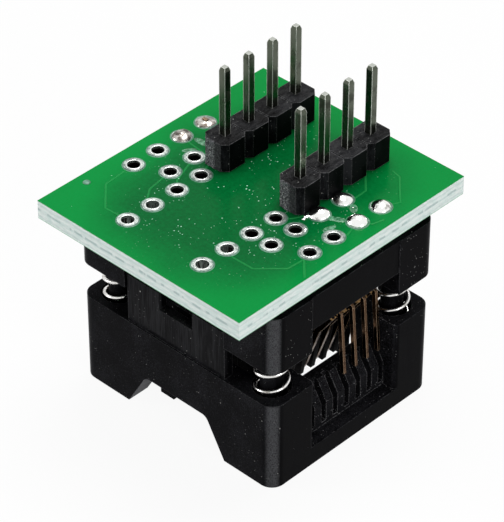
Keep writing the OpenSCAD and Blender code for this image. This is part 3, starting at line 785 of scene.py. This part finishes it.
@dataclass
class CircuitBoard:
    """The green board with its traces, mask rims and soldering marks. Sizes are in millimetres."""

    top: float = BOARD_TOP
    pitch: float = 2.54
    ring_r: float = 0.8
    rim_gap: float = 0.055
    lip_r: float = 0.57
    lip_lift: float = 0.035
    trace_w: float = 0.2
    trace_flatness: float = 0.13
    hole_near: float = 0.5
    lacquer_drop: tuple[float, float, float] = (-9.31, -7.95, 0.3)
    rows: tuple[tuple[float, float, int], ...] = (
        (3.81, -9.07, 8), (-3.81, -9.07, 8),
        (5.78, -3.995, 4), (8.38, -2.725, 4),
        (-8.38, -3.995, 4), (-5.78, -2.725, 4),
    )
    traces: tuple[tuple[tuple[float, float], ...], ...] = (
        ((-8.38, -4.0), (-8.12, -7.1), (-6.05, -9.2), (-3.81, -9.07)),
        ((-5.78, -2.72), (-5.35, -5.3), (-4.65, -6.25), (-3.81, -6.53)),
        ((3.81, -6.53), (4.75, -6.95), (6.72, -6.9), (8.5, -5.15), (8.6, -3.9), (8.38, -2.72)),
        ((3.81, -4.0), (4.5, -3.72), (5.1, -3.72)),
        ((8.65, -3.6), (9.1, -4.1), (10.1, -5.1)),
        ((8.38, 4.9), (9.05, 6.3), (8.45, 6.9), (6.9, 8.6), (6.0, 8.8)),
        ((6.3, 4.2), (6.25, 5.6), (5.25, 6.65), (4.6, 7.4)),
        ((3.81, -1.45), (4.7, -0.6), (5.2, 0.5)),
        ((8.38, -0.18), (8.9, 0.7), (8.5, 2.3)),
        ((8.5, 2.36), (9.3, 2.9), (9.6, 3.9)),
        ((-3.81, -4.0), (-4.7, -3.1), (-5.78, -0.2)),
        ((-3.81, -1.45), (-4.7, 0.62), (-7.2, 0.85), (-8.38, 1.1)),
    )
    splashes: tuple[tuple[float, float, float], ...] = (
        (5.3, 0.25, 0.22), (5.45, 0.75, 0.14), (5.35, -0.12, 0.13), (5.2, 3.2, 0.2),
        (6.3, -0.95, 0.12), (6.42, -1.1, 0.08), (7.6, 2.9, 0.07), (7.0, 3.4, 0.06),
    )
    residue: tuple[tuple[float, float, float, float], ...] = (
        (7.0, 1.5, 0.85, 0.3), (7.45, 0.35, 0.6, 0.25), (7.1, 3.35, 0.55, 0.3),
        (-6.8, 1.6, 0.75, 0.3), (-6.7, 0.2, 0.6, 0.25), (-7.3, 3.6, 0.5, 0.3),
    )

    def dress_board(self) -> None:
        """Gives the board its lacquered faces and its sawn edges."""
        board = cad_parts["circuit_board"]
        mask, edge = SolderMask().build(), Laminate().build()
        board.data.materials.clear()
        board.data.materials.append(mask)
        board.data.materials.append(edge)
        reach = max(abs(v.co.x) for v in board.data.vertices), max(abs(v.co.y) for v in board.data.vertices)
        for face in board.data.polygons:
            middle = face.center
            on_side = abs(abs(middle.x) - reach[0]) < 1e-5 or abs(abs(middle.y) - reach[1]) < 1e-5
            face.material_index = 1 if on_side else 0
        LOG.info("circuit_board: lacquer and sawn edges")

    def holes(self) -> list[tuple[float, float]]:
        """The middles of the plated holes, row by row."""
        return [(x, first + index * self.pitch) for x, first, count in self.rows for index in range(count)]

    def at_holes(self, ring: bpy.types.Object, lift: float) -> list[bpy.types.Object]:
        """Copies a ring to both ends of every hole and removes the ring itself.

        Args:
            ring: A ring about the vertical through the origin.
            lift: Height of its middle over the board's face.

        Returns:
            The copies.
        """
        faces = self.top + lift, self.top - BOARD_THICK - lift
        made = [copied(ring, (x * MM, y * MM, z * MM)) for x, y in self.holes() for z in faces]
        bpy.data.objects.remove(ring)
        return made

    def clear_of_holes(self, path: Sequence[tuple[float, float]]) -> list[Vector]:
        """Ends a run under the ring of the hole it leads to, clear of the hole itself."""
        points = [Vector(point) for point in path]
        for end, inner in ((0, 1), (-1, -2)):
            for hole in map(Vector, self.holes()):
                if (points[end] - hole).length < self.hole_near:
                    points[end] = hole + (points[inner] - hole).normalized() * (self.ring_r - 0.05)
        return points

    def build_traces(self) -> None:
        """Models the copper runs as low rounded ridges under the lacquer."""
        runs = []
        for path in self.traces:
            bpy.ops.curve.primitive_bezier_curve_add()
            run = bpy.context.object
            curve = run.data
            curve.splines.clear()
            spline = curve.splines.new("POLY")
            spline.points.add(len(path) - 1)
            for point, (x, y) in zip(spline.points, self.clear_of_holes(path)):
                point.co = (x * MM, y * MM, 0.0, 1.0)
            curve.bevel_depth = self.trace_w / 2 * MM
            curve.bevel_resolution = 2
            curve.use_fill_caps = True
            pick(run)
            bpy.ops.object.convert(target="MESH")
            run = bpy.context.object
            run.scale = (1.0, 1.0, self.trace_flatness)
            run.location = (0.0, 0.0, self.top * MM)
            runs.append(run)
        traces = joined(runs, "board_traces")
        outward(traces)
        smooth(traces, 60.0)
        dress(traces, SolderMask(name="mask_over_copper", lift=0.4, ridge=(0.02, 0.34, 0.08)).build())
        place_piece(traces, Body.ADAPTER)

    def build_mask_rims(self) -> None:
        """Models the lacquer's pale rim round every ring, on both faces, and a drop of it near one corner."""
        rims = self.at_holes(flat_ring(self.ring_r + self.rim_gap, 0.06, (36, 8), 0.5), 0.0)
        x, y, radius = self.lacquer_drop
        bpy.ops.mesh.primitive_uv_sphere_add(
            segments=32, ring_count=16, radius=radius * MM, location=(x * MM, y * MM, self.top * MM)
        )
        drop = bpy.context.object
        drop.scale = (1.0, 1.0, 0.35)
        lacquer = CloudyFilm(
            "mask_rim", (0.03, 0.13, 0.075), (0.12, 0.3, 0.2), 2.2, (3.0, 0.55), (0.3, 0.7), (0.3, 0.1), (0.01, 0.4)
        )
        add_piece([*rims, drop], "mask_rims", 60.0, lacquer.build())

    def build_soldering_marks(self) -> None:
        """Models the small solder splashes and the films of residue near the joints."""
        drops = []
        for x, y, radius in self.splashes:
            bpy.ops.mesh.primitive_ico_sphere_add(
                subdivisions=3, radius=radius * MM, location=(x * MM, y * MM, (self.top + radius * 0.25) * MM)
            )
            drop = bpy.context.object
            drop.scale = (1.0, 1.25, 0.7)
            roughen(drop, radius * 0.12, len(drops), 0.6, 2)
            drops.append(drop)
        add_piece(drops, "solder_splashes", 80.0, solder_metal())
        films = []
        for index, (x, y, long, wide) in enumerate(self.residue):
            bpy.ops.mesh.primitive_uv_sphere_add(
                segments=40, ring_count=12, radius=1.0 * MM, location=(x * MM, y * MM, self.top * MM)
            )
            film = bpy.context.object
            film.scale = (long, wide, 0.035)
            film.rotation_euler = (0.0, 0.0, 0.9 * index + 0.5)
            roughen(film, 0.16, index + 3, 0.5, 2)
            films.append(film)
        flux = CloudyFilm(
            "flux_residue", (0.004, 0.12, 0.035), (0.12, 0.36, 0.2), 2.6, (5.0, 0.7), (0.42, 0.62), (0.16, 0.2),
            (0.05, 0.9),
        )
        add_piece(films, "flux_films", 80.0, flux.build())

    def dress_rings(self) -> None:
        """Tins the rings and barrels of the holes and models the bright lip of each."""
        dress(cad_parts["hole_plating"], TinnedHole().build())
        lips = self.at_holes(flat_ring(self.lip_r, 0.045, (32, 10), 0.6), self.lip_lift)
        add_piece(lips, "hole_lips", 60.0, solder_metal())

    def build(self) -> None:
        """Builds and dresses the whole board."""
        self.dress_board()
        self.build_traces()
        self.build_mask_rims()
        self.build_soldering_marks()
        self.dress_rings()


def solder_metal() -> bpy.types.Material:
    """Bright solder with grey flux stains; one material for every joint but the left domes."""
    found = bpy.data.materials.get("bright_solder")
    if found is not None:
        return found
    return Metal(
        "bright_solder", (0.9, 0.9, 0.88), (0.2, 0.19, 0.17), roughness=0.12, stain_share=0.25, stain_per_mm=1.3,
        marks_per_mm=5.0, bump_mm=0.018,
    ).build()


@dataclass
class SolderJoints:
    """The domes on the contact tails and the cones on the header pins. Sizes are in millimetres."""

    radius: float = 0.84
    height: float = 0.5
    left_share: float = 0.6
    lean: float = 0.09
    tip: float = 0.08
    tails: tuple[tuple[float, float], ...] = (
        (5.78, 1.085), (8.38, 2.355), (5.78, 3.625), (8.38, 4.895),
        (-8.38, 1.085), (-5.78, 2.355), (-8.38, 3.625), (-5.78, 4.895),
    )

    def dome(self, index: int, x: float, y: float) -> bpy.types.Object:
        """One hand-soldered joint: a flared, uneven dome with a tip.

        Args:
            index: Number that makes each joint different.
            x: Place across the board.
            y: Place along the board.

        Returns:
            The dome.
        """
        bpy.ops.mesh.primitive_uv_sphere_add(segments=32, ring_count=20, radius=self.radius * MM)
        dome = bpy.context.object
        lean = self.lean * math.sin(2.3 * index + 0.4), self.lean * math.cos(1.7 * index)
        tall = self.height * (1.0 if x > 0.0 else self.left_share) + 0.08 * math.sin(index * 1.9)
        for vertex in dome.data.vertices:
            up = vertex.co.z / (self.radius * MM)
            flat = math.hypot(vertex.co.x, vertex.co.y) / (self.radius * MM)
            turn = math.atan2(vertex.co.y, vertex.co.x)
            wobble = 1.0 + 0.05 * math.sin(2.0 * turn + index) + 0.03 * math.sin(3.0 * turn + 2.0 * index)
            flare = 1.0 + 0.1 * max(0.0, 0.35 - abs(up))
            vertex.co.x *= wobble * flare
            vertex.co.y *= wobble * flare
            rise = max(up, 0.0) ** 1.15 * tall
            sink = min(up, 0.0) * 0.1
            tip = self.tip * math.exp(-((flat / 0.3) ** 2)) if up > 0.0 else 0.0
            vertex.co.z = (rise + sink + tip) * MM
            vertex.co.x += lean[0] * max(up, 0.0) * MM
            vertex.co.y += lean[1] * max(up, 0.0) * MM
        roughen(dome, 0.04, index, 0.6, 8)
        dome.location = (x * MM, y * MM, BOARD_TOP * MM)
        return dome

    def build(self) -> None:
        """Builds the domes, bright on the right and dull on the left, and dresses the cones."""
        dull = Metal(
            "dull_solder", (0.62, 0.59, 0.55), (0.07, 0.055, 0.045), roughness=0.2, stain_share=0.75,
            stain_per_mm=2.2, marks_per_mm=7.0, bump_mm=0.04,
        ).build()
        for side, name, metal in ((1, "right_solder_domes", solder_metal()), (-1, "left_solder_domes", dull)):
            domes = [self.dome(index, x, y) for index, (x, y) in enumerate(self.tails) if x * side > 0.0]
            add_piece(domes, name, 80.0, metal, ["contact_solder"] if side > 0 else [])
        dress(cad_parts["header_solder"], solder_metal())


@dataclass
class PinHeaders:
    """The two break-away strips and their eight pins. Sizes are in millimetres."""

    row_x: float = 3.81
    end_y: float = -0.18
    base_z: float = 18.45
    height: float = 2.4
    face_w: float = 1.56

    def snapped_end(self, side: int) -> bpy.types.Object:
        """The torn face left where a strip was snapped off.

        Args:
            side: -1 for the left strip, 1 for the right one.

        Returns:
            The torn skin.
        """
        bpy.ops.mesh.primitive_grid_add(x_subdivisions=36, y_subdivisions=48, size=1.0)
        skin = bpy.context.object
        skin.scale = (self.face_w * MM, self.height * MM, 1.0)
        skin.rotation_euler = (math.radians(90.0), 0.0, 0.0)
        skin.location = (side * self.row_x * MM, (self.end_y - 0.02) * MM, (self.base_z + self.height / 2) * MM)
        settle(skin)
        torn = bpy.data.textures.new(f"torn_{side}", "CLOUDS")
        torn.noise_scale = 0.35 * MM
        torn.noise_depth = 3
        shift = skin.modifiers.new("torn", "DISPLACE")
        shift.texture = torn
        shift.strength = 0.16 * MM
        shift.mid_level = 0.3
        shift.texture_coords = "LOCAL"
        pick(skin)
        bpy.ops.object.modifier_apply(modifier=shift.name)
        wall = skin.modifiers.new("wall", "SOLIDIFY")
        wall.thickness = 0.12 * MM
        wall.offset = -1.0
        bpy.ops.object.modifier_apply(modifier=wall.name)
        return skin

    def build(self) -> None:
        """Dresses the strips and pins and adds the torn ends."""
        # The header's pale edges are worn and also carry a painted edge highlight.
        plastic = MouldedPlastic(
            "header_plastic", worn=(0.02, 0.0205, 0.023), rubbed_and_highlight=(0.3, 0.3, 0.31), dust_share=0.45, dusty_top=0.04,
            roughness=0.4, grain_mm=0.06, edge_mm=0.1, edge_wear_and_highlight=0.95,
        ).build()
        for strip in nodes_named("header_strip"):
            dress(strip, plastic)
        for side, word in ((-1, "left"), (1, "right")):
            skin = self.snapped_end(side)
            skin.name = skin.data.name = f"snapped_end_{word}"
            outward(skin)
            smooth(skin, 70.0)
            dress(skin, BrokenPlastic(f"snapped_{word}", side * self.row_x).build())
            place_piece(skin, Body.ADAPTER)
        # The pins' rim share paints a highlight on their edges and tips.
        wire = Metal(
            "pin_wire", (0.095, 0.108, 0.082), (0.038, 0.04, 0.03), roughness=0.2, stain_share=0.45,
            stain_per_mm=0.7, marks_per_mm=12.0, marks=Wear.ALONG_Z, edge_mm=0.1, bump_mm=0.006, rim_highlight_share=0.95,
        ).build()
        for pin in nodes_named("header_pin"):
            dress(pin, wire)


@dataclass
class ChipSocket:
    """The moulded base, its contacts and the press-down cover. Sizes are in millimetres."""

    leg_from_z: float = 8.2
    leg_beyond_y: float = 8.3
    ribs_below_z: float = 8.0

    def build(self) -> None:
        """Dresses the mouldings and contacts."""
        # The corner limits set where a painted highlight runs down the rounded corners.
        base = MouldedPlastic("base_plastic", edge_mm=0.12, corner_highlight_from=18.03)
        dress(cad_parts["socket_base"], base.build())
        cover = MouldedPlastic(
            "cover_plastic", edge_mm=0.13, corner_highlight_from=17.92, grooves_from_z=self.leg_from_z,
            grooves_beyond_y=self.leg_beyond_y, comb_below_z=self.ribs_below_z,
        )
        dress(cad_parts["cover"], cover.build())
        # The contacts' rim share paints a highlight on their edges, and the warm limit paints a warm glint on the
        # arms' bends.
        gold = Metal(
            "gilt_sheet", (0.085, 0.042, 0.018), (0.022, 0.009, 0.003), roughness=0.14, stain_share=0.5,
            stain_per_mm=1.2, marks_per_mm=12.0, marks=Wear.ALONG_Z, edge_mm=0.05, rim=(0.52, 0.37, 0.24),
            rim_highlight_share=0.85, warm_within_x=7.9,
        ).build()
        for contact in nodes_named("contact_left", "contact_right"):
            dress(contact, gold)


@dataclass
class CoilSprings:
    """Four bright coil springs between the cover and the corner blocks. Sizes are in millimetres."""

    wire_r: float = 0.15
    coil_r: float = 1.24
    turns: float = 8.0
    end_share: float = 0.03
    start: float = 165.0
    low: float = 1.2
    high: float = 11.0
    travel: float = 2.6
    steps: int = 36
    sides: int = 12
    places: tuple[tuple[str, float, float], ...] = (
        ("front_left", -7.95, -6.15),
        ("front_right", 7.95, -6.15),
        ("back_left", -7.95, 7.05),
        ("back_right", 7.95, 7.05),
    )

    def rise(self, t: float) -> float:
        """Height of the wire's middle after t turns, with the end turns laid flat."""
        low, high = self.low + self.wire_r, self.high - self.wire_r
        body = max(0.0, min(1.0, (t - 1.0) / (self.turns - 2.0))) * (1.0 - 2.0 * self.end_share)
        ends = self.end_share * (min(1.0, t) + max(0.0, t - self.turns + 1.0))
        return low + (high - low) * (body + ends)

    def coil(self) -> bpy.types.Object:
        """Models one spring about the vertical through the origin."""
        bpy.ops.mesh.primitive_circle_add(
            vertices=self.sides, radius=self.wire_r * MM, location=(self.coil_r * MM, 0.0, 0.0),
            rotation=(math.radians(90.0), 0.0, 0.0),
        )
        coil = bpy.context.object
        settle(coil)
        screw = coil.modifiers.new("turns", "SCREW")
        screw.angle = 2.0 * math.pi * self.turns
        screw.steps = screw.render_steps = round(self.steps * self.turns)
        screw.screw_offset = 0.0
        screw.use_merge_vertices = False
        bpy.ops.object.modifier_apply(modifier=screw.name)
        rings = len(coil.data.vertices) // self.sides
        for index, vertex in enumerate(coil.data.vertices):
            vertex.co.z += self.rise(index // self.sides / (rings - 1) * self.turns) * MM
        bpy.ops.object.mode_set(mode="EDIT")
        bpy.ops.mesh.select_all(action="DESELECT")
        bpy.ops.mesh.select_mode(type="EDGE")
        bpy.ops.mesh.select_non_manifold()
        bpy.ops.mesh.fill_holes(sides=0)
        bpy.ops.mesh.select_all(action="SELECT")
        bpy.ops.mesh.normals_make_consistent(inside=False)
        bpy.ops.object.mode_set(mode="OBJECT")
        return coil

    def build(self) -> None:
        """Builds the four springs, which ride on the cover."""
        steel = Metal(
            "spring_wire", (0.8, 0.79, 0.77), (0.32, 0.3, 0.27), roughness=0.16, stain_share=0.35,
            stain_per_mm=1.6, marks_per_mm=20.0, edge_mm=0.0,
        ).build()
        master = self.coil()
        for name, x, y in self.places:
            spring = copied(master, (x * MM, y * MM, 0.0), math.radians(self.start))
            spring.name = spring.data.name = f"coil_{name}"
            settle(spring)
            smooth(spring, 60.0)
            dress(spring, steel)
            place_piece(spring, Body.COVER, [f"spring_{name}"])
            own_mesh(spring)
        bpy.data.objects.remove(master)


# Studio


@dataclass
class Lamp:
    """One soft area lamp aimed at the adapter."""

    name: str
    place: Point
    size: float
    power: float

    def build(self, target: Vector) -> None:
        """Hangs the lamp.

        Args:
            target: The point it looks at.
        """
        data = bpy.data.lights.new(self.name, "AREA")
        data.shape = "DISK"
        data.size = self.size
        data.energy = self.power
        lamp = bpy.data.objects.new(self.name, data)
        bpy.context.scene.collection.objects.link(lamp)
        lamp.location = self.place
        lamp.rotation_euler = (target - Vector(self.place)).to_track_quat("-Z", "Y").to_euler()


@dataclass
class Studio:
    """Pale floor, soft lamps and the camera at the photograph's angle."""

    azimuth: float = 43.83
    elevation: float = 37.86
    roll: float = 0.05
    distance: float = 223.0
    target: Point = (1.61, -1.66, 13.4)
    focal_px: float = 3006.0
    sensor: float = 36.0
    dim_sky: float = 0.22
    lit_point: Point = (0.0, 0.0, 0.012)
    lamps: tuple[Lamp, ...] = (
        Lamp("overhead", (-0.03, 0.08, 0.3), 0.2, 0.75),
        Lamp("front_left", (-0.2, -0.2, 0.11), 0.12, 0.3),
        Lamp("front_right", (0.26, -0.06, 0.1), 0.12, 0.28),
    )

    def build_floor(self) -> None:
        """Lays the floor."""
        bpy.ops.mesh.primitive_circle_add(vertices=96, radius=1.2, fill_type="NGON")
        floor = bpy.context.object
        floor.name = "studio_floor"
        dress(floor, StudioWhite().build())

    def build_world(self) -> None:
        """Sets a dim sky that the camera, reflections and see-through pieces see as plain white."""
        world = bpy.context.scene.world or bpy.data.worlds.new("studio_world")
        bpy.context.scene.world = world
        g = Graph(world)
        strength = g.background_rays() * (1.0 - self.dim_sky) + self.dim_sky
        sky = g.node("ShaderNodeBackground", inputs={"Color": (1.0, 1.0, 1.0), "Strength": strength})
        g.node("ShaderNodeOutputWorld", inputs={0: g.out(sky)})

    def build_camera(self) -> None:
        """Sets the camera where the photograph was taken from."""
        az, el = math.radians(self.azimuth), math.radians(self.elevation)
        back = Vector((math.sin(az) * math.cos(el), -math.cos(az) * math.cos(el), math.sin(el)))
        data = bpy.data.cameras.new("photo_camera")
        data.sensor_width = self.sensor
        data.lens = self.focal_px * self.sensor / max(PHOTO_SIZE)
        camera = bpy.data.objects.new("photo_camera", data)
        bpy.context.scene.collection.objects.link(camera)
        camera.location = (Vector(self.target) + back * self.distance) * MM
        turn = (-back).to_track_quat("-Z", "Y").to_matrix()
        turn = turn @ Matrix.Rotation(math.radians(self.roll), 3, "Z")
        camera.rotation_euler = turn.to_euler()
        data.clip_start, data.clip_end = 0.01, 10.0
        bpy.context.scene.camera = camera

    def build(self) -> None:
        """Builds the studio."""
        self.build_floor()
        self.build_world()
        for lamp in self.lamps:
            lamp.build(Vector(self.lit_point))
        self.build_camera()
        bpy.context.scene.view_settings.view_transform = "Standard"


def main() -> None:
    """Builds every sub-assembly in order."""
    logging.basicConfig(level=logging.INFO)
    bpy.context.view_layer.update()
    for part in (CircuitBoard(), SolderJoints(), PinHeaders(), ChipSocket(), CoilSprings(), Studio()):
        part.build()
        LOG.info("%s done", type(part).__name__)
    clear_selection()


if __name__ == "__main__":
    main()
